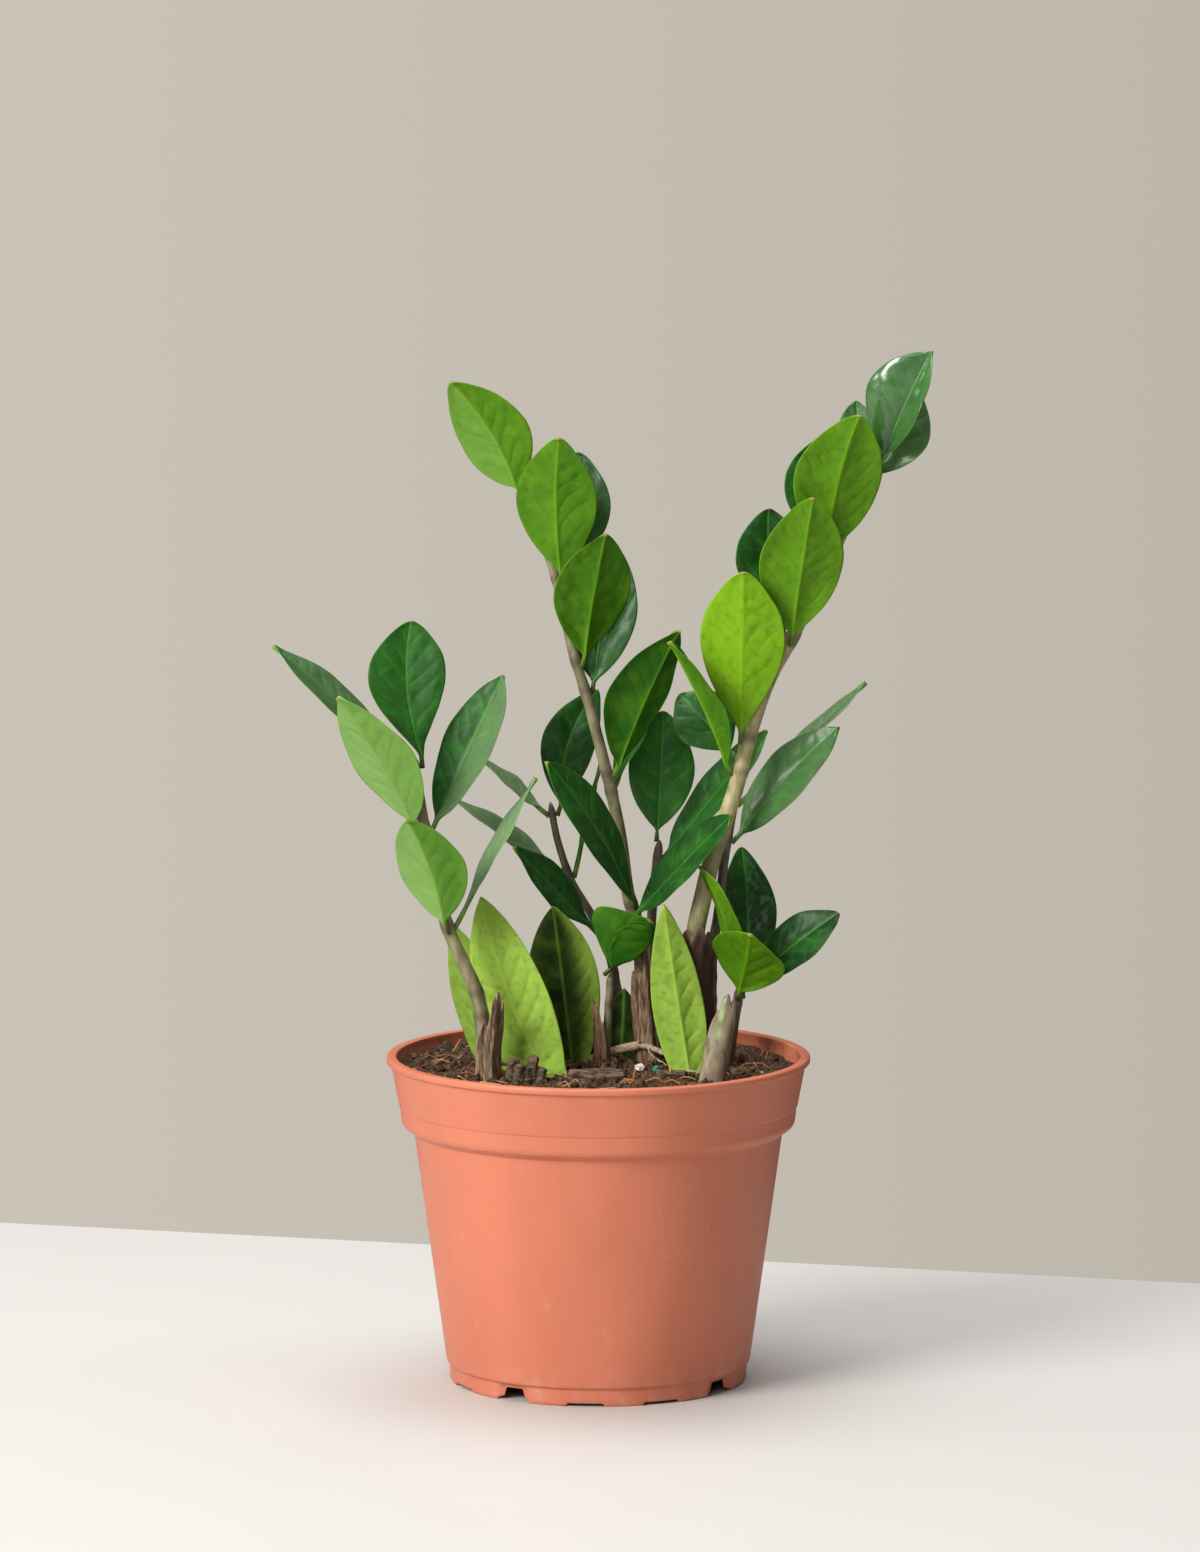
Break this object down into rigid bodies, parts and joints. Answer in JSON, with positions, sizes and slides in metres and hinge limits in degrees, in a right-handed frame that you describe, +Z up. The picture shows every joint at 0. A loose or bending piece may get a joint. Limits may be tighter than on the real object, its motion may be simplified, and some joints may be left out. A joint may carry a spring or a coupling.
{
  "type": "potted zz plant",
  "caption": "Young zz plant with upright fronds of glossy leaflets, growing in soil in a round tapered plastic nursery pot.",
  "frame": {"origin": "centre of the pot's foot, on the surface the pot stands on, under the centre of the whole plant's box", "axes": "+Z up the pot's axis, -Y towards the side the fronds are seen from, +X to the right of that view"},
  "size_m": [0.2003, 0.1298, 0.3164],
  "materials": {
    "pot": "satin injection-moulded plastic, terracotta colour",
    "soil": null,
    "stem": "smooth succulent stem, olive green to tan with brown nodes",
    "leaf": "waxy leaf, glossy dark green above and paler matt green below",
    "cutting": "young translucent leaf, bright yellow-green",
    "sheath": "dry brown papery sheath",
    "shoot": "pale grey-tan stump with a green streak"
  },
  "bodies": {
    "root": {"pot": "pot", "soil": "soil", "stem_a": "stem", "stem_b": "stem", "stem_c": "stem", "stem_d": "stem", "stem_e": "stem", "stem_f": "stem", "stem_h": "stem", "stem_i": "stem", "leaf_a1": "leaf", "leaf_a2": "leaf", "leaf_a3": "leaf", "leaf_a4": "leaf", "leaf_a5": "leaf", "leaf_a6": "leaf", "leaf_b1": "leaf", "leaf_b2": "leaf", "leaf_b3": "leaf", "leaf_b4": "leaf", "leaf_b5": "leaf", "leaf_b6": "leaf", "leaf_b7": "leaf", "leaf_b8": "leaf", "leaf_b9": "leaf", "leaf_c1": "leaf", "leaf_c2": "leaf", "leaf_d1": "leaf", "leaf_d2": "leaf", "leaf_d3": "leaf", "leaf_d4": "leaf", "leaf_d5": "leaf", "leaf_d6": "leaf", "leaf_d7": "leaf", "leaf_d8": "leaf", "leaf_d9": "leaf", "leaf_e1": "leaf", "leaf_e2": "leaf", "leaf_e3": "leaf", "leaf_e4": "leaf", "leaf_f1": "leaf", "leaf_h1": "leaf", "leaf_h2": "leaf", "leaf_h3": "leaf", "leaf_h4": "leaf", "leaf_h5": "leaf", "leaf_i1": "leaf", "leaf_i2": "leaf", "leaf_i3": "leaf", "cutting_1": "cutting", "cutting_2": "cutting", "cutting_3": "cutting", "cutting_4": "cutting", "cutting_5": "cutting", "sheath_a": "sheath", "sheath_b": "sheath", "sheath_d": "sheath", "sheath_f": "sheath", "cut_shoot": "shoot", "bud_spike": "sheath"}
  },
  "joints": []
}
